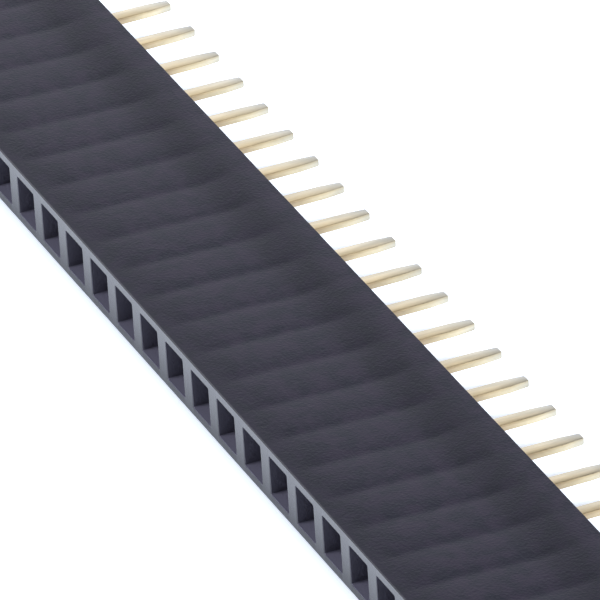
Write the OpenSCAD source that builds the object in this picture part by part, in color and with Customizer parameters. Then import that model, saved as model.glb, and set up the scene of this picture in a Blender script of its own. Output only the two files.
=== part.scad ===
// Female pin header strip: one moulded housing with a row of square sockets,
// and one stamped and folded contact in each socket, whose tail is soldered to a board.
// X runs along the strip, +Y points from the mating face to the tails, and +Z is up
// with the strip lying on one of its wide sides. All sizes are in millimetres.

/* [Strip] */
// Number of sockets in the row
positions = 40; // [2:1:40]
// Distance from one socket to the next
pitch = 2.54; // [2.4:0.02:3.2]

/* [Housing] */
// Thickness of the housing across the row
housing_w = 2.5; // [2.2:0.1:3.5]
// Height of the housing from its mating face to its tail face
housing_h = 8.5; // [7.5:0.1:12]
// Width of each square socket
socket_w = 1.7; // [1.6:0.05:1.9]
// Wall left beyond the first and the last socket
end_wall = 0.42; // [0.3:0.01:1.2]
// Thickness of the floor that the contacts seat on
floor_t = 1.7; // [0.8:0.1:2.2]
// Chamfer around the mouth of each socket
lead_in = 0.1; // [0.04:0.01:0.14]
// Chamfer along the long outer edges
edge_break = 0.08; // [0.02:0.01:0.2]

/* [Contact] */
// Thickness of the contact sheet
sheet_t = 0.3; // [0.2:0.01:0.32]
// Width of the leaves where they leave the folded base
contact_w = 1.5; // [1.3:0.05:1.55]
// Gap between the contact and the upper and lower walls of its socket
contact_clear = 0.05; // [0.02:0.01:0.08]
// Length of the folded base
base_l = 2; // [1.6:0.1:2.4]
// Inner radius of the fold that joins the two plates of the base
fold_r = 0.15; // [0.08:0.01:0.25]
// Radius of the bends along the leaves and the tail, at mid-thickness
bend_r = 0.35; // [0.2:0.05:0.4]
// Length of the step that brings the tail to the middle of the socket
step_l = 0.7; // [0.5:0.05:0.9]
// Depth of the leaf tips below the mating face
mouth_depth = 1.5; // [0.8:0.1:2]
// Distance from the leaf tips to the line where the leaves grip a pin
nip_l = 1.2; // [0.8:0.1:1.5]
// Gap between the leaves where they grip a pin
nip_gap = 0.45; // [0.3:0.05:0.55]
// Width of each leaf at its tip
leaf_tip_w = 1; // [0.7:0.05:1.25]
// Distance from the front of the base to its barbs
barb_y = 0.25; // [0.1:0.05:0.4]
// Length of each barb
barb_l = 0.45; // [0.3:0.05:0.6]
// Length of the flat on top of each barb
barb_flat = 0.12; // [0.06:0.02:0.2]

/* [Tail] */
// Width of the tail
tail_w = 0.6; // [0.45:0.05:0.7]
// Length of the tail beyond the housing
tail_l = 3.2; // [2:0.1:12]
// Width of the tail at its tip
tail_tip_w = 0.4; // [0.2:0.02:0.5]
// Length of the taper at the tip
tail_tip_l = 0.9; // [0.3:0.1:1.6]
// Gap all round the tail where it passes through the floor
slot_clear = 0.05; // [0.02:0.01:0.1]

/* [Hidden] */
// Straight steps in each bend of the sheet
bend_steps = 4;
// How far cutters run past the faces they cut
past = 1;
strip_l = (positions - 1) * pitch + socket_w + 2 * end_wall;
total_h = housing_h + tail_l;
// The mating face lies at this Y, so that the origin is in the middle of the whole part
mating_y = -total_h / 2;
mid_z = housing_w / 2;
socket_d = housing_h - floor_t;
base_y = socket_d - base_l;
step_y = socket_d - bend_r - step_l;
// Distance from the middle of the socket to the middle of each plate of the base
plate_z = socket_w / 2 - contact_clear - sheet_t / 2;
nip_z = (nip_gap + sheet_t) / 2;
// The fold bears on one side wall of the socket, and the barbs grip the other
fold_x = sheet_t / 2 - socket_w / 2;
fold_end_x = fold_x + fold_r + sheet_t / 2;
housing_color = [0.13, 0.13, 0.15];
contact_color = [0.86, 0.75, 0.48];

function socket_x(i) = (i - (positions + 1) / 2) * pitch;
function contact_name(i) = str("contact_", i < 10 ? "0" : "", i);

// ---- Bent sheet ----

function unit(v) = v / norm(v);

// The arc of radius r that rounds the corner b of the path a, b, c
function corner_arc(a, b, c, r) =
    let (
        u = unit(a - b),
        v = unit(c - b),
        half = acos(u * v) / 2,
        middle = b + unit(u + v) * r / sin(half),
        first = b + u * r / tan(half) - middle,
        last = b + v * r / tan(half) - middle,
        start = atan2(first[1], first[0]),
        turn = (atan2(last[1], last[0]) - start + 540) % 360 - 180
    )
    [for (k = [0:bend_steps])
        let (angle = start + turn * k / bend_steps)
        middle + r * [cos(angle), sin(angle)]];

// A path with each of its inner corners rounded to radius r
function bent(path, r) = [
    path[0],
    for (i = [1:len(path) - 2]) each corner_arc(path[i - 1], path[i], path[i + 1], r),
    path[len(path) - 1]
];

// The point beside corner i of the path, at the distance d from the lines that meet there
function beside(path, i, d) =
    let (
        before = unit(path[max(i, 1)] - path[max(i, 1) - 1]),
        after = unit(path[min(i + 1, len(path) - 1)] - path[min(i, len(path) - 2)]),
        along = before + after
    )
    path[i] + [-along[1], along[0]] * 2 * d / (along * along);

// The outline of a sheet whose middle follows the path
module sheet_outline(path) {
    last = len(path) - 1;
    polygon([
        for (i = [0:last]) beside(path, i, sheet_t / 2),
        for (i = [last:-1:0]) beside(path, i, -sheet_t / 2)
    ]);
}

// A side outline, drawn with Y across and Z up, made as wide as the socket
module across_socket() {
    translate([-socket_w / 2, 0, 0])
        rotate([90, 0, 90])
            linear_extrude(socket_w) children();
}

// ---- Contact ----
// Its own frame has X = 0 and Z = 0 in the middle of the socket and Y = 0 at the mating face.

// Edges of the flat blank, from the leaf tip to the base: one is cut to the fold,
// and the other has the barb
function fold_edge() = [
    [fold_end_x, base_y],
    [-contact_w / 2, base_y],
    [-leaf_tip_w / 2, mouth_depth]
];

function barb_edge() = [
    [leaf_tip_w / 2, mouth_depth],
    [contact_w / 2, base_y],
    [contact_w / 2, base_y + barb_y],
    [socket_w / 2, base_y + barb_y],
    [socket_w / 2, base_y + barb_y + barb_flat],
    [contact_w / 2, base_y + barb_y + barb_l]
];

// A blank with both edges, closed by the outline of what lies behind the barb
module blank(rest) {
    translate([0, 0, -housing_w])
        linear_extrude(2 * housing_w)
            polygon(concat(fold_edge(), barb_edge(), rest));
}

// Middle line of a leaf, seen from the end of the strip
function leaf_path() = [
    [mouth_depth, -plate_z],
    [mouth_depth + nip_l, -nip_z],
    [base_y, -plate_z]
];

module leaf_with_tail() {
    tip_y = housing_h + tail_l;
    path = concat(leaf_path(), [[step_y, -plate_z], [step_y + step_l, 0], [tip_y, 0]]);
    intersection() {
        across_socket() sheet_outline(bent(path, bend_r));
        blank([
            [contact_w / 2, step_y],
            [tail_w / 2, step_y],
            [tail_w / 2, tip_y - tail_tip_l],
            [tail_tip_w / 2, tip_y],
            [-tail_tip_w / 2, tip_y],
            [-tail_w / 2, tip_y - tail_tip_l],
            [-tail_w / 2, step_y],
            [fold_end_x, step_y]
        ]);
    }
}

module leaf_opposite() {
    path = concat(leaf_path(), [[socket_d, -plate_z]]);
    mirror([0, 0, 1])
        intersection() {
            across_socket() sheet_outline(bent(path, bend_r));
            blank([[contact_w / 2, socket_d], [fold_end_x, socket_d]]);
        }
}

// The fold at one side of the base, which joins its two plates into a channel
module side_fold() {
    path = [
        [fold_end_x, -plate_z],
        [fold_x, -plate_z],
        [fold_x, plate_z],
        [fold_end_x, plate_z]
    ];
    translate([0, socket_d, 0])
        rotate([90, 0, 0])
            linear_extrude(base_l) sheet_outline(bent(path, fold_r + sheet_t / 2));
}

module contact(i) {
    color(contact_color)
        translate([socket_x(i), mating_y, mid_z]) {
            leaf_with_tail();
            leaf_opposite();
            side_fold();
        }
}

// ---- Housing ----

// A trapezium that opens from the socket's width to its chamfered mouth
module mouth_outline() {
    half = socket_w / 2;
    wide = half + lead_in + past;
    polygon([[-half, lead_in], [half, lead_in], [wide, -past], [-wide, -past]]);
}

// The chamfered mouth is what two crossed wedges have in common
module socket_mouth() {
    depth = 2 * (socket_w + 2 * (lead_in + past));
    intersection() {
        translate([0, 0, -depth / 2]) linear_extrude(depth) mouth_outline();
        rotate([0, 90, 0])
            translate([0, 0, -depth / 2]) linear_extrude(depth) mouth_outline();
    }
}

module socket_cut() {
    slot_w = tail_w + 2 * slot_clear;
    slot_t = sheet_t + 2 * slot_clear;
    translate([-socket_w / 2, -past, -socket_w / 2])
        cube([socket_w, socket_d + past, socket_w]);
    translate([-slot_w / 2, 0, -slot_t / 2])
        cube([slot_w, housing_h + past, slot_t]);
    socket_mouth();
}

// Section of the housing across the row, with its long edges chamfered
module housing_section() {
    e = edge_break;
    polygon([
        [e, 0], [housing_h - e, 0], [housing_h, e], [housing_h, housing_w - e],
        [housing_h - e, housing_w], [e, housing_w], [0, housing_w - e], [0, e]
    ]);
}

module housing() {
    color(housing_color)
        translate([0, mating_y, 0])
            difference() {
                translate([-strip_l / 2, 0, 0])
                    rotate([90, 0, 90]) linear_extrude(strip_l) housing_section();
                for (i = [1:positions])
                    translate([socket_x(i), 0, mid_z]) socket_cut();
            }
}

housing();
for (i = [1:positions])
    contact(i);
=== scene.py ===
import math
import bmesh
import bpy
from mathutils import Matrix, Vector


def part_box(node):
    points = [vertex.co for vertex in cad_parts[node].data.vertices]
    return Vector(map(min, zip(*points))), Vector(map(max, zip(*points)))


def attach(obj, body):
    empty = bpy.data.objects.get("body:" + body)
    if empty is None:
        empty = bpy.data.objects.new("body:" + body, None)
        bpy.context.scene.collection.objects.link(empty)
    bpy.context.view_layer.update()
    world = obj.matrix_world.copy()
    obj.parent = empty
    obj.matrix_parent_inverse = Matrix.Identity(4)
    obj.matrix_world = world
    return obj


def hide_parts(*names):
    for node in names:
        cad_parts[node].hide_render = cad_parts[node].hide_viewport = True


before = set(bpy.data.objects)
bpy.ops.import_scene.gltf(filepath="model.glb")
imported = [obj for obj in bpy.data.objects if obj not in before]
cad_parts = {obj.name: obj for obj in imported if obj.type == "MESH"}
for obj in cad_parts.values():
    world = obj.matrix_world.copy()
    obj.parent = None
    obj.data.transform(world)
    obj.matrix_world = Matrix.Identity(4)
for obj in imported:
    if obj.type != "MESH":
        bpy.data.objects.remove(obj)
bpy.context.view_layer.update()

# A female pin header strip: a black moulded housing and one gold plated contact in each socket.
# Meshes are modelled in millimetres and scaled to metres when they become pieces.
# X runs along the strip, Y from the mating face to the tails, and Z up.
MM = 0.001
X_AXIS = Vector((1, 0, 0))
Y_AXIS = Vector((0, 1, 0))

# In millimetres: points closer than TOUCH are one point, and a cut that passes a point by less
# than CUT_SNAP goes through it
TOUCH = 1e-4
CUT_SNAP = 1e-5
# A face is square to an axis when more than this share of its normal lies along the axis
SQUARE = 0.99
# An edge is sharp where the surface turns by more than this, in degrees
SHARP_ANGLE = 35

# Housing: sockets, slots for the tails, and rounds
SOCKET_W = 1.7
SOCKET_D = 6.8
SOCKET_CORNER_R = 0.06
MOUTH_ROUND = 0.07
SLOT_W = 0.7
SLOT_T = 0.4
LONG_EDGE_R = 0.05
END_EDGE_R = 0.08

# Sink marks of the wide faces: a groove over each bar between two sockets, a sag before the solid
# back and a fall to the mouths. Below the mating face, the groove sets in over SINK_START and
# loses the share SINK_FADE over SINK_STOP; the fall ends and the sag begins at SAG_REST, and the
# sag ends over SAG_STOP. All of them set in over STIFF_END from the ends of the strip.
SINK_DEPTH = 0.068
SINK_WIDTH = 0.45
SINK_START = (0.2, 1.3)
SINK_STOP = (6.2, 7.5)
SINK_FADE = 0.8
SAG_DEPTH = 0.13
SAG_REST = 1.5
SAG_STOP = (5.9, 7.75)
MOUTH_FALL = 0.05
STIFF_END = (0.3, 3.5)

# Cuts that let the wide faces bend: distances from the middle of a bar, and below the mating face
CUTS_FROM_BAR = (0.07, 0.16, 0.27, 0.4, 0.56, 0.75, 0.98)
CUTS_BELOW_FACE = (0.45, 0.75, 1.05, 1.4, 2.2, 3.2, 4.2, 5.2, 5.6,
                   5.9, 6.2, 6.5, 6.8, 7.1, 7.4, 7.7, 8.0)

# Contacts: the crisp edges of a tail start this far inside the tail face
CRISP_START = 0.3
CONTACT_EDGE_R = 0.03
TAIL_EDGE_R = 0.01
TAIL_TIP_R = 0.09

# Camera: where it looks, its distance, lens and sensor in millimetres, and its angles in degrees
CAMERA_AIM = (3.2365, -0.1706, 2.5)
CAMERA_AZIMUTH = 68.2356
CAMERA_ELEVATION = 29.5739
CAMERA_ROLL = -3.886
CAMERA_DISTANCE = 445.09
CAMERA_LENS = 679.84
CAMERA_SENSOR = 36

# Studio light: 1 lights a white surface to white. The floor's glow fades near the object, within
# FLOOR_SHADE_REACH metres, and in reflections by the power FLOOR_MIRROR_FADE.
FLOOR_HALF_WIDTH = 2
FLOOR_SHADE_REACH = 8 * MM
FLOOR_SEEN_GLOW = 1.0
FLOOR_MIRROR_GLOW = 1.15
FLOOR_MIRROR_FADE = 1.9
FLOOR_COLOUR = (0.82, 0.86, 0.92, 1)
FLOOR_GLOW_COLOUR = (0.9, 0.97, 1.1, 1)
# The room's light: SKY_TOP is the share left where a direction rises by SKY_TOP_HEIGHT or more,
# and SKY_BACK turns into SKY_FRONT over SKY_FRONT_TURN towards SKY_FRONT_SIDE
SKY_TOP = 0.32
SKY_TOP_HEIGHT = 0.85
SKY_BACK = 0.45
SKY_FRONT = 0.15
SKY_FRONT_SIDE = (0.7, -0.7, 0)
SKY_FRONT_TURN = (0.1, 0.8)
SKY_COLOUR = (0.9, 0.96, 1.1, 1)
LAMP_COLOUR = (0.95, 0.98, 1.03)

# Softboxes: name, azimuth and elevation in degrees, distance and size in metres, irradiance,
# and whether surfaces mirror it; one that they don't mirror leaves no highlight on them
SOFTBOXES = (
    ("front_softbox", -6, 45, 0.3, 0.14, 0.6, True),
    ("overhead_softbox", 180, 74, 0.3, 0.17, 0.74, False),
    ("side_softbox", -113, 18, 0.12, 0.11, 0.27, True),
)

names = sorted(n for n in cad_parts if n.startswith("contact_"))


def node_box(name):
    """The lowest and highest corner of a CAD node, in millimetres."""
    low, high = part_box(name)
    return Vector(low) / MM, Vector(high) / MM


housing_low, housing_high = node_box("housing")
housing_mid = (housing_low + housing_high) / 2
strip_l, housing_h, housing_w = housing_high - housing_low
pitch = strip_l / len(names)
mating_y = housing_low.y
tail_y = housing_high.y
contact_end = node_box(names[0])[1].y


def smooth_step(low, high, value):
    """0 below low, 1 above high, and an S curve between."""
    t = min(max((value - low) / (high - low), 0), 1)
    return t * t * (3 - 2 * t)


def direction(azimuth, elevation):
    """The unit vector towards an azimuth, counted from -Y to +X, and an elevation, in degrees."""
    a, e = math.radians(azimuth), math.radians(elevation)
    return Vector((math.sin(a) * math.cos(e), -math.cos(a) * math.cos(e), math.sin(e)))


# ---- Mesh helpers ----

def new_object(name, data):
    made = bpy.data.objects.new(name, data)
    bpy.context.scene.collection.objects.link(made)
    return made


def finished_mesh(bm, name):
    mesh = bpy.data.meshes.new(name)
    bm.to_mesh(mesh)
    bm.free()
    return mesh


def near(value, target):
    return abs(value - target) < TOUCH


def faces_facing(bm, axis, sign):
    return [f for f in bm.faces if f.normal[axis] * sign > SQUARE]


def edge_vector(edge):
    return edge.verts[0].co - edge.verts[1].co


def is_sharp(edge):
    return edge.is_manifold and edge.calc_face_angle() > math.radians(SHARP_ANGLE)


def round_edges(bm, edges, radius, segments):
    bmesh.ops.bevel(bm, geom=edges, offset=radius, offset_type="OFFSET", segments=segments,
                    profile=0.5, affect="EDGES", clamp_overlap=True, material=-1)


def cut(bm, point, normal, faces=None):
    """Cuts the given faces, or all of them, along a plane."""
    if faces is None:
        geometry = bm.verts[:] + bm.edges[:] + bm.faces[:]
    else:
        parts = [part for f in faces for part in (*f.verts, *f.edges)]
        geometry = list(dict.fromkeys(parts)) + faces
    bmesh.ops.bisect_plane(bm, geom=geometry, dist=CUT_SNAP, plane_co=point, plane_no=normal)


def inner_face(bm, face, width, thickness):
    """Insets a flat face so that the face left in its middle has the given size in X and Z."""
    # Any small inset will do, because the face is then scaled to its size
    bmesh.ops.inset_region(bm, faces=[face], thickness=0.05, use_even_offset=True)
    middle = face.calc_center_median()
    xs = [v.co.x for v in face.verts]
    zs = [v.co.z for v in face.verts]
    factor = (width / (max(xs) - min(xs)), 1, thickness / (max(zs) - min(zs)))
    bmesh.ops.scale(bm, vec=factor, space=Matrix.Translation(-middle), verts=face.verts)
    return face


def sink_in(bm, face, depth):
    """Pushes a face along Y and returns the face at the bottom of the pocket."""
    made = bmesh.ops.extrude_discrete_faces(bm, faces=[face])
    bottom = made["faces"][0]
    bmesh.ops.translate(bm, vec=(0, depth, 0), verts=bottom.verts)
    return bottom


def shade_by_angle(mesh):
    """Smooth faces with sharp edges where the surface turns by more than SHARP_ANGLE."""
    bm = bmesh.new()
    bm.from_mesh(mesh)
    for face in bm.faces:
        face.smooth = True
    for edge in bm.edges:
        edge.smooth = edge.is_manifold and edge.calc_face_angle() < math.radians(SHARP_ANGLE)
    bm.to_mesh(mesh)
    bm.free()


def make_piece(bm, name, replaced, material):
    """Turns a mesh in millimetres into a piece of the object, in metres."""
    bmesh.ops.scale(bm, vec=(MM, MM, MM), verts=bm.verts)
    mesh = finished_mesh(bm, name)
    mesh.materials.clear()
    mesh.materials.append(material)
    shade_by_angle(mesh)
    piece = new_object(name, mesh)
    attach(piece, "root")
    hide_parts(replaced)


# ---- Housing ----

def sink(x, depth):
    """How far the wide face has sunk, at x from a socket's middle and below the mating face."""
    from_bar = pitch / 2 - abs(x)
    groove = SINK_DEPTH / (1 + (from_bar / SINK_WIDTH) ** 2)
    ends = smooth_step(*SINK_START, depth) * (1 - SINK_FADE * smooth_step(*SINK_STOP, depth))
    sag = SAG_DEPTH * smooth_step(SAG_REST, SAG_STOP[0], depth)
    sag *= 1 - smooth_step(*SAG_STOP, depth)
    fall = MOUTH_FALL * (1 - smooth_step(0, SAG_REST, depth))
    return groove * ends + sag + fall


def housing_cell():
    """One pitch of the housing, centred on X = 0, with its socket and slot, open at both sides."""
    bm = bmesh.new()
    bmesh.ops.create_cube(bm, size=1)
    bmesh.ops.scale(bm, vec=(pitch, housing_h, housing_w), verts=bm.verts)
    bmesh.ops.translate(bm, vec=(0, housing_mid.y, housing_mid.z), verts=bm.verts)
    long_edges = [e for e in bm.edges if abs(edge_vector(e).x) > pitch / 2]
    round_edges(bm, long_edges, LONG_EDGE_R, segments=4)

    mouth = inner_face(bm, faces_facing(bm, 1, -1)[0], SOCKET_W, SOCKET_W)
    floor = sink_in(bm, mouth, SOCKET_D)
    opening = inner_face(bm, floor, SLOT_W, SLOT_T)
    slot = inner_face(bm, faces_facing(bm, 1, 1)[0], SLOT_W, SLOT_T)
    slot_end = sink_in(bm, slot, SOCKET_D - housing_h)
    bmesh.ops.delete(bm, geom=[opening, slot_end], context="FACES_ONLY")
    bmesh.ops.remove_doubles(bm, verts=bm.verts, dist=TOUCH)
    sides = faces_facing(bm, 0, -1) + faces_facing(bm, 0, 1)
    ends = [f for f in sides if near(abs(f.calc_center_median().x), pitch / 2)]
    bmesh.ops.delete(bm, geom=ends, context="FACES_ONLY")
    return bm


def round_mouth(bm):
    """Rounds the four corners of a cell's socket, and then the rim of its mouth."""
    half = SOCKET_W / 2

    def at_corner(vert):
        return near(abs(vert.co.x), half) and near(abs(vert.co.z - housing_mid.z), half)

    def at_mouth(vert):
        reach = half + 10 * TOUCH
        return (near(vert.co.y, mating_y) and abs(vert.co.x) < reach
                and abs(vert.co.z - housing_mid.z) < reach)

    corners = [e for e in bm.edges
               if all(at_corner(v) for v in e.verts) and abs(edge_vector(e).y) > SOCKET_D / 2]
    round_edges(bm, corners, SOCKET_CORNER_R, segments=3)
    # Edges that lie within the mating face are not part of the rim
    rim = [e for e in bm.edges if all(at_mouth(v) for v in e.verts)
           and len(e.link_faces) == 2 and any(f.normal.y > -SQUARE for f in e.link_faces)]
    round_edges(bm, rim, MOUTH_ROUND, segments=3)


def wide_faces(bm):
    return [f for f in bm.faces if abs(f.normal.z) > SQUARE
            and near(abs(f.calc_center_median().z - housing_mid.z), housing_w / 2)]


def housing_mesh():
    bm = housing_cell()
    round_mouth(bm)
    for x in [0] + [side * (pitch / 2 - d) for d in CUTS_FROM_BAR for side in (-1, 1)]:
        cut(bm, (x, 0, 0), X_AXIS)
    for y in CUTS_BELOW_FACE:
        cut(bm, (0, mating_y + y, 0), Y_AXIS, wide_faces(bm))

    # The row of cells
    cell = finished_mesh(bm, "cell")
    row = bmesh.new()
    for i in range(len(names)):
        before = set(row.verts)
        row.from_mesh(cell)
        made = [v for v in row.verts if v not in before]
        shift = housing_low.x + (i + 0.5) * pitch
        bmesh.ops.translate(row, vec=(shift, 0, 0), verts=made)
    bpy.data.meshes.remove(cell)
    bmesh.ops.remove_doubles(row, verts=row.verts, dist=TOUCH)

    # The wide faces sink, and stay flat beside the stiff end walls
    for vert in row.verts:
        height = vert.co.z - housing_mid.z
        share = 1 - (housing_w / 2 - abs(height)) / LONG_EDGE_R
        if share > 0:
            share *= smooth_step(*STIFF_END, strip_l / 2 - abs(vert.co.x - housing_mid.x))
            x = (vert.co.x - housing_low.x) % pitch - pitch / 2
            vert.co.z -= math.copysign(share * sink(x, vert.co.y - mating_y), height)

    # A flat end at either side
    for x in (housing_low.x, housing_high.x):
        outline = [e for e in row.edges if all(near(v.co.x, x) for v in e.verts)]
        end = bmesh.ops.contextual_create(row, geom=outline)["faces"][0]
        round_edges(row, end.edges[:], END_EDGE_R, segments=3)
    bmesh.ops.recalc_face_normals(row, faces=row.faces)
    return row


# ---- Contacts ----

def contact_mesh(name):
    """The contact's own form with its doubles merged and its cut edges rounded."""
    bm = bmesh.new()
    bm.from_mesh(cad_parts[name].data)
    bmesh.ops.scale(bm, vec=(1 / MM, 1 / MM, 1 / MM), verts=bm.verts)
    bmesh.ops.remove_doubles(bm, verts=bm.verts, dist=TOUCH)
    bmesh.ops.dissolve_limit(bm, angle_limit=math.radians(1), verts=bm.verts, edges=bm.edges)
    # The tail's end is rounded off, and its long edges are crisper than those of the leaves
    crisp_y = tail_y - CRISP_START
    cut(bm, (0, crisp_y, 0), Y_AXIS)
    tip = [e for e in bm.edges if all(v.co.y > contact_end - 10 * TOUCH for v in e.verts)]
    round_edges(bm, tip, TAIL_TIP_R, segments=3)
    edges = [e for e in bm.edges if is_sharp(e) and all(v.co.y > crisp_y - TOUCH for v in e.verts)]
    round_edges(bm, edges, TAIL_EDGE_R, segments=3)
    edges = [e for e in bm.edges if is_sharp(e) and all(v.co.y < crisp_y + TOUCH for v in e.verts)]
    round_edges(bm, edges, CONTACT_EDGE_R, segments=2)
    return bm


# ---- Materials ----

class Nodes:
    """Adds nodes to a tree and links them, one call a node."""

    def __init__(self, tree):
        self.tree = tree

    def add(self, kind, inputs=None, **settings):
        node = self.tree.nodes.new(kind)
        for key, value in settings.items():
            setattr(node, key, value)
        for key, value in (inputs or {}).items():
            if isinstance(value, bpy.types.NodeSocket):
                self.tree.links.new(value, node.inputs[key])
            else:
                node.inputs[key].default_value = value
        return node

    def calc(self, operation, *values):
        inputs = dict(enumerate(values))
        return self.add("ShaderNodeMath", inputs, operation=operation).outputs[0]

    def dot(self, first, second):
        return self.add("ShaderNodeVectorMath", {0: first, 1: second},
                        operation="DOT_PRODUCT").outputs["Value"]

    def split(self, vector):
        """The X, Y and Z of a vector."""
        return self.add("ShaderNodeSeparateXYZ", {"Vector": vector}).outputs

    def rescale(self, value, start, stop, to_start=0.0, to_stop=1.0, **settings):
        """Maps start to stop onto to_start to to_stop, and holds the value at both ends."""
        inputs = {"Value": value, "From Min": start, "From Max": stop,
                  "To Min": to_start, "To Max": to_stop}
        return self.add("ShaderNodeMapRange", inputs, **settings).outputs["Result"]

    def mix(self, factor, first, second, blend="MIX"):
        return self.add("ShaderNodeMix", {"Factor": factor, 6: first, 7: second},
                        data_type="RGBA", blend_type=blend).outputs[2]

    def multiply(self, first, second):
        return self.mix(1.0, first, second, "MULTIPLY")

    def blend_stops(self, value, stops):
        """A colour that changes with the value, through pairs of a position and a colour."""
        node = self.add("ShaderNodeValToRGB", {"Fac": value})
        elements = node.color_ramp.elements
        for element, (position, colour) in zip(elements, (stops[0], stops[-1])):
            element.position, element.color = position, colour
        for position, colour in stops[1:-1]:
            elements.new(position).color = colour
        return node.outputs["Color"]

    def place(self, scale=(1, 1, 1)):
        """Object coordinates in millimetres, times a scale."""
        coordinates = self.add("ShaderNodeTexCoord").outputs["Object"]
        factor = [s / MM for s in scale]
        return self.add("ShaderNodeMapping", {"Vector": coordinates, "Scale": factor}).outputs[0]

    def grain(self, group, place, cloud_size, grain_size):
        """The outputs of the surface grain group, with its sizes in millimetres."""
        inputs = {"Coordinates": place, "Cloud size": cloud_size, "Grain size": grain_size}
        return self.add("ShaderNodeGroup", inputs, node_tree=group).outputs


def new_material(name):
    material = bpy.data.materials.new(name)
    material.use_nodes = True
    material.node_tree.nodes.clear()
    return material


def grain_group():
    """Even grain on a moulded or rolled surface: soft clouds and a fine grain, each 0 to 1."""
    group = bpy.data.node_groups.new("surface_grain", "ShaderNodeTree")
    face = group.interface
    face.new_socket("Coordinates", in_out="INPUT", socket_type="NodeSocketVector")
    for size in ("Cloud size", "Grain size"):
        face.new_socket(size, in_out="INPUT", socket_type="NodeSocketFloat")
    for value in ("Cloud", "Grain"):
        face.new_socket(value, in_out="OUTPUT", socket_type="NodeSocketFloat")
    n = Nodes(group)
    given = n.add("NodeGroupInput").outputs
    noise = {}
    for value, detail, roughness in (("Cloud", 3.0, 0.6), ("Grain", 2.0, 0.5)):
        scale = n.calc("DIVIDE", 1.0, given[value + " size"])
        noise[value] = n.add("ShaderNodeTexNoise", {
            "Vector": given["Coordinates"], "Scale": scale,
            "Detail": detail, "Roughness": roughness}).outputs["Fac"]
    n.add("NodeGroupOutput", noise)
    return group


# Plastic: the colour in the clouds, and the share of it that is left on the way from the mating
# face, at 0, to the tail face, at 1; the shares paint shade near the mating face and around the
# floors of the sockets
PLASTIC_CLOUD_SIZE = 0.8
PLASTIC_GRAIN_SIZE = 0.12
PLASTIC_CLOUDS = ((0.4, (0.0048, 0.0048, 0.0148, 1)), (0.6, (0.0164, 0.0112, 0.0260, 1)))
PLASTIC_PAINTED_SHADE = (
    (0.1, (0.58, 0.57, 0.72, 1)),
    (0.26, (0.98, 0.98, 0.98, 1)),
    (0.62, (1, 1, 1, 1)),
    (0.73, (0.5, 0.5, 0.62, 1)),
    (0.86, (0.5, 0.5, 0.62, 1)),
    (0.95, (1, 1, 1, 1)),
)
PLASTIC_IOR = 1.53
POLISHED_ROUGHNESS = 0.16
BLASTED_ROUGHNESS = 0.6
CLOUD_ROUGHNESS = 0.05
# Relief of the grain: its strength, height in metres, and share left on the mating face
RELIEF_STRENGTH = 0.95
RELIEF_HEIGHT = 0.00003
POLISHED_RELIEF = 0.12
# Below the mating face, in millimetres: where the polish starts to end, and where the blasted
# roughness and the blasted relief are full
POLISH_END = 0.03
BLASTED_ROUGH_FROM = 0.1
BLASTED_RELIEF_FROM = 0.4
# Painted light on the walls of the sockets, far paler than the plastic outside: the upper and
# lower one, and those between neighbouring sockets
WALL_ALONG_STRIP_PAINTED_LIGHT = (0.135, 0.128, 0.18, 1)
WALL_CROSSWISE_PAINTED_LIGHT = (0.062, 0.058, 0.086, 1)
# The box around the row of sockets that tells their walls from the outside: how far it stays
# inside both ends and below the mating face, and reaches past the rounds of the mouths
WALL_BOX_FROM_ENDS = 0.05
WALL_BOX_FROM_FACE = 0.005
WALL_BOX_PAST_ROUNDS = 0.01
# How near to the upper or lower wall a point counts as part of it
WALL_NEAR = 0.03


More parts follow.
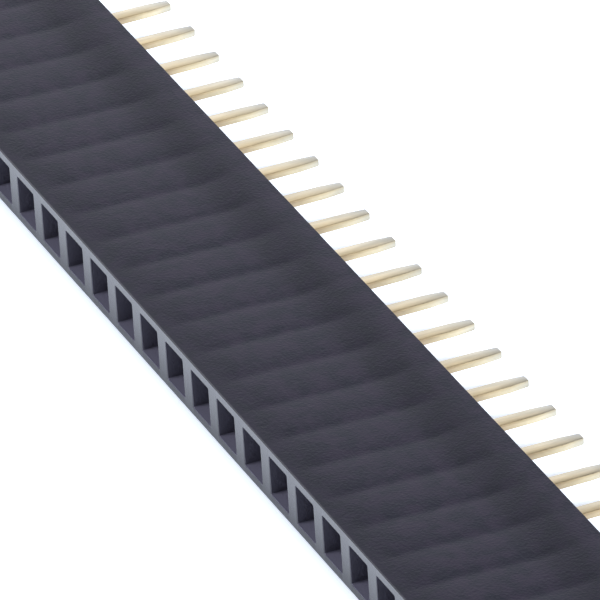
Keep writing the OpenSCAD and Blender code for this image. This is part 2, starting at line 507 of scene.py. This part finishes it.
def plastic_material(grain):
    material = new_material("black_moulded_plastic")
    n = Nodes(material.node_tree)
    place = n.place()
    x, y, z = n.split(place)
    look = n.grain(grain, place, PLASTIC_CLOUD_SIZE, PLASTIC_GRAIN_SIZE)
    # Painted shade: the plastic is painted a little darker near the mating face and around the
    # floors of the sockets
    depth_share = n.rescale(y, mating_y, tail_y)
    outside = n.multiply(n.blend_stops(look["Cloud"], PLASTIC_CLOUDS),
                         n.blend_stops(depth_share, PLASTIC_PAINTED_SHADE))
    # The mating face comes off a polished part of the mould, the wide faces off a blasted one
    polish_end = mating_y + POLISH_END
    rough = n.rescale(y, polish_end, mating_y + BLASTED_ROUGH_FROM,
                      POLISHED_ROUGHNESS, BLASTED_ROUGHNESS)
    cloudy = n.rescale(look["Cloud"], 0.0, 1.0, -CLOUD_ROUGHNESS, CLOUD_ROUGHNESS)
    blasted = n.rescale(y, polish_end, mating_y + BLASTED_RELIEF_FROM, POLISHED_RELIEF, 1.0)
    relief = n.calc("MULTIPLY", n.calc("SUBTRACT", look["Grain"], 0.5), blasted)
    bump = n.add("ShaderNodeBump", {
        "Height": relief, "Strength": RELIEF_STRENGTH, "Distance": RELIEF_HEIGHT})
    # Painted light: the walls of the sockets are painted paler than the plastic outside, most of
    # all along the strip
    crosswise = n.calc("COMPARE", z, housing_mid.z, SOCKET_W / 2 - WALL_NEAR)
    wall = n.mix(crosswise, WALL_ALONG_STRIP_PAINTED_LIGHT, WALL_CROSSWISE_PAINTED_LIGHT)
    reach_x = strip_l / 2 - WALL_BOX_FROM_ENDS
    reach_y = housing_h / 2 - WALL_BOX_FROM_FACE
    reach_z = SOCKET_W / 2 + MOUTH_ROUND + WALL_BOX_PAST_ROUNDS
    within = n.add("ShaderNodeCombineXYZ", {
        0: n.calc("COMPARE", x, housing_mid.x, reach_x),
        1: n.calc("COMPARE", z, housing_mid.z, reach_z),
        2: n.calc("COMPARE", y, housing_mid.y, reach_y)}).outputs[0]
    # All three of them are 1 inside the box
    inside = n.calc("GREATER_THAN", n.dot(within, (1, 1, 1)), 2.5)
    shader = n.add("ShaderNodeBsdfPrincipled", {
        "Base Color": n.mix(inside, outside, wall),
        "Roughness": n.calc("ADD", rough, cloudy),
        "Normal": bump.outputs["Normal"], "IOR": PLASTIC_IOR})
    n.add("ShaderNodeOutputMaterial", {"Surface": shader.outputs["BSDF"]})
    return material


# Gold with painted light and shade: the plating on the way from the tail face, at 0, to the end of
# the tail, at 1
GOLD_CLOUD_SIZE = 0.35
GOLD_GRAIN_SIZE = 0.05
GOLD_STRETCH = (1, 0.15, 1)
GOLD_AND_PAINTED_SHADE_STOPS = (
    (0, (0.68, 0.56, 0.37, 1)),
    (0.4, (0.68, 0.58, 0.395, 1)),
    (0.75, (0.61, 0.55, 0.42, 1)),
    (1, (0.44, 0.43, 0.38, 1)),
)
GOLD_ROUGHNESS = 0.33
# Relief of its grain: its strength, and height in metres
GOLD_RELIEF_STRENGTH = 0.2
GOLD_RELIEF_HEIGHT = 0.00001
# The clouds between these two values multiply the plating by these two shares
GOLD_CLOUD_RANGE = (0.35, 0.65)
GOLD_CLOUD_SHARES = (0.86, 1.1)
# Tints of painted light and shade that multiply it, and where each pair starts and stops: across a
# flat, in millimetres from its middle line; along a cut side, counted as the plating is; and up a
# cut side, in millimetres above its middle
FLAT_PAINTED_PALE_REFLECTION = (1.07, 1.09, 1.18, 1)
FLAT_PAINTED_WARM_SIDE = (1.09, 1.0, 0.84, 1)
FLAT_TINT_RANGE = (-0.2, 0.3)
CUT_PAINTED_SHADE_NEAR_HOUSING = (0.72, 0.65, 0.64, 1)
CUT_PAINTED_LIGHT_ALONG_TAIL = (0.97, 0.93, 0.835, 1)
CUT_TINT_RANGE = (0.1, 0.6)
CUT_LOWER_UNSHADED = (1, 1, 1, 1)
CUT_UPPER_PAINTED_SHADE = (0.82, 0.76, 0.68, 1)
UPPER_SHADE_HEIGHT = 0.12
# How much of a normal lies along X where a flat turns into a cut side
CUT_SIDE_TURN = (0.5, 0.9)


def gold_material(grain):
    material = new_material("gold_plated_sheet")
    n = Nodes(material.node_tree)
    x, y, z = n.split(n.place())
    look = n.grain(grain, n.place(GOLD_STRETCH), GOLD_CLOUD_SIZE, GOLD_GRAIN_SIZE)
    # Painted reflection and shade along the tail: warmer gold near the housing, standing in for
    # the dark housing mirrored in it, paler further along, and a darker grey for the shade at the
    # cut end
    along_tail = n.rescale(y, tail_y, contact_end)
    plating = n.blend_stops(along_tail, GOLD_AND_PAINTED_SHADE_STOPS)
    cloudy = n.rescale(look["Cloud"], *GOLD_CLOUD_RANGE, *GOLD_CLOUD_SHARES)
    plating = n.multiply(plating, cloudy)
    # Painted reflection on the flats: paler and bluish towards one long edge, and warmer towards
    # the other
    in_pitch = n.calc("WRAP", x, housing_low.x + pitch, housing_low.x)
    from_middle = n.calc("SUBTRACT", in_pitch, housing_low.x + pitch / 2)
    flat = n.mix(n.rescale(from_middle, *FLAT_TINT_RANGE), FLAT_PAINTED_PALE_REFLECTION, FLAT_PAINTED_WARM_SIDE)
    # Painted shade on the cut sides: darker next to the housing, where they mirror shade on the
    # floor, and darker on the upper half of each, where it mirrors the shadow of the neighbouring
    # tail.
    cut_side = n.mix(n.rescale(along_tail, *CUT_TINT_RANGE), CUT_PAINTED_SHADE_NEAR_HOUSING, CUT_PAINTED_LIGHT_ALONG_TAIL)
    upper = n.rescale(z, housing_mid.z, housing_mid.z + UPPER_SHADE_HEIGHT)
    cut_side = n.multiply(cut_side, n.mix(upper, CUT_LOWER_UNSHADED, CUT_UPPER_PAINTED_SHADE))
    normal_x = n.split(n.add("ShaderNodeTexCoord").outputs["Normal"])["X"]
    sideways = n.rescale(n.calc("ABSOLUTE", normal_x), *CUT_SIDE_TURN)
    bump = n.add("ShaderNodeBump", {
        "Height": look["Grain"], "Strength": GOLD_RELIEF_STRENGTH, "Distance": GOLD_RELIEF_HEIGHT})
    shader = n.add("ShaderNodeBsdfPrincipled", {
        "Base Color": n.multiply(plating, n.mix(sideways, flat, cut_side)),
        "Metallic": 1.0, "Roughness": GOLD_ROUGHNESS, "Normal": bump.outputs["Normal"]})
    n.add("ShaderNodeOutputMaterial", {"Surface": shader.outputs["BSDF"]})
    return material


# ---- Studio ----

def make_floor():
    """A white surface that keeps soft shadows and shows white to the camera and in reflections."""
    bm = bmesh.new()
    bmesh.ops.create_grid(bm, x_segments=1, y_segments=1, size=FLOOR_HALF_WIDTH)
    floor = new_object("floor", finished_mesh(bm, "floor"))
    material = new_material("white_floor")
    n = Nodes(material.node_tree)
    rays = n.add("ShaderNodeLightPath").outputs
    # The glow fades under the object as the light of the room would, and more so in reflections
    open_sky = n.add("ShaderNodeAmbientOcclusion", {"Distance": FLOOR_SHADE_REACH},
                     samples=8).outputs["AO"]
    mirrored = n.calc("MAXIMUM", rays["Is Glossy Ray"], rays["Is Transmission Ray"])
    seen = n.calc("MULTIPLY", n.calc("MULTIPLY", open_sky, FLOOR_SEEN_GLOW), rays["Is Camera Ray"])
    deep = n.calc("MULTIPLY", n.calc("POWER", open_sky, FLOOR_MIRROR_FADE), FLOOR_MIRROR_GLOW)
    light = n.calc("MULTIPLY_ADD", deep, mirrored, seen)
    cloth = n.add("ShaderNodeBsdfDiffuse", {"Color": FLOOR_COLOUR})
    glow = n.add("ShaderNodeEmission", {"Color": FLOOR_GLOW_COLOUR, "Strength": light})
    both = n.add("ShaderNodeAddShader", {0: cloth.outputs[0], 1: glow.outputs[0]})
    n.add("ShaderNodeOutputMaterial", {"Surface": both.outputs[0]})
    floor.data.materials.append(material)


def make_world():
    """A room that is brightest low down and at the back, and shows white to the camera."""
    world = bpy.data.worlds.new("studio")
    bpy.context.scene.world = world
    world.use_nodes = True
    world.node_tree.nodes.clear()
    n = Nodes(world.node_tree)
    towards = n.add("ShaderNodeTexCoord").outputs["Generated"]
    low = n.rescale(n.split(towards)["Z"], 0.0, SKY_TOP_HEIGHT, 1.0, SKY_TOP)
    front = n.dot(towards, SKY_FRONT_SIDE)
    back = n.rescale(front, *SKY_FRONT_TURN, SKY_BACK, SKY_FRONT, interpolation_type="SMOOTHSTEP")
    light = n.calc("MULTIPLY", low, back)
    room = n.add("ShaderNodeBackground", {"Color": SKY_COLOUR, "Strength": light})
    white = n.add("ShaderNodeBackground", {"Color": (1, 1, 1, 1), "Strength": 1.0})
    seen = n.add("ShaderNodeMixShader", {0: n.add("ShaderNodeLightPath").outputs["Is Camera Ray"],
                                         1: room.outputs[0], 2: white.outputs[0]})
    n.add("ShaderNodeOutputWorld", {"Surface": seen.outputs[0]})


def add_softbox(name, azimuth, elevation, distance, size, irradiance, mirrored):
    """A square softbox aimed at the strip; irradiance 1 lights a white face to white."""
    data = bpy.data.lights.new(name, "AREA")
    data.color = LAMP_COLOUR
    data.shape = "SQUARE"
    data.size = size
    data.energy = irradiance * math.pi ** 2 * distance ** 2
    lamp = new_object(name, data)
    lamp.visible_glossy = mirrored
    back = direction(azimuth, elevation)
    lamp.location = back * distance
    lamp.rotation_euler = back.to_track_quat("Z", "Y").to_euler()


def make_camera():
    data = bpy.data.cameras.new("camera")
    data.sensor_width = CAMERA_SENSOR
    data.lens = CAMERA_LENS
    camera = new_object("camera", data)
    azimuth = math.radians(CAMERA_AZIMUTH)
    back = direction(CAMERA_AZIMUTH, CAMERA_ELEVATION)
    right = Vector((math.cos(azimuth), math.sin(azimuth), 0))
    level = Matrix((right, back.cross(right), back)).transposed()
    turned = level @ Matrix.Rotation(math.radians(CAMERA_ROLL), 3, "Z")
    place = (Vector(CAMERA_AIM) + back * CAMERA_DISTANCE) * MM
    camera.matrix_world = Matrix.Translation(place) @ turned.to_4x4()
    bpy.context.scene.camera = camera


surface_grain = grain_group()
plastic = plastic_material(surface_grain)
gold = gold_material(surface_grain)

make_piece(housing_mesh(), "moulded_housing", "housing", plastic)
for name in names:
    make_piece(contact_mesh(name), "gold_" + name, name, gold)

make_floor()
make_world()
for softbox in SOFTBOXES:
    add_softbox(*softbox)
make_camera()
bpy.context.scene.view_settings.view_transform = "Standard"
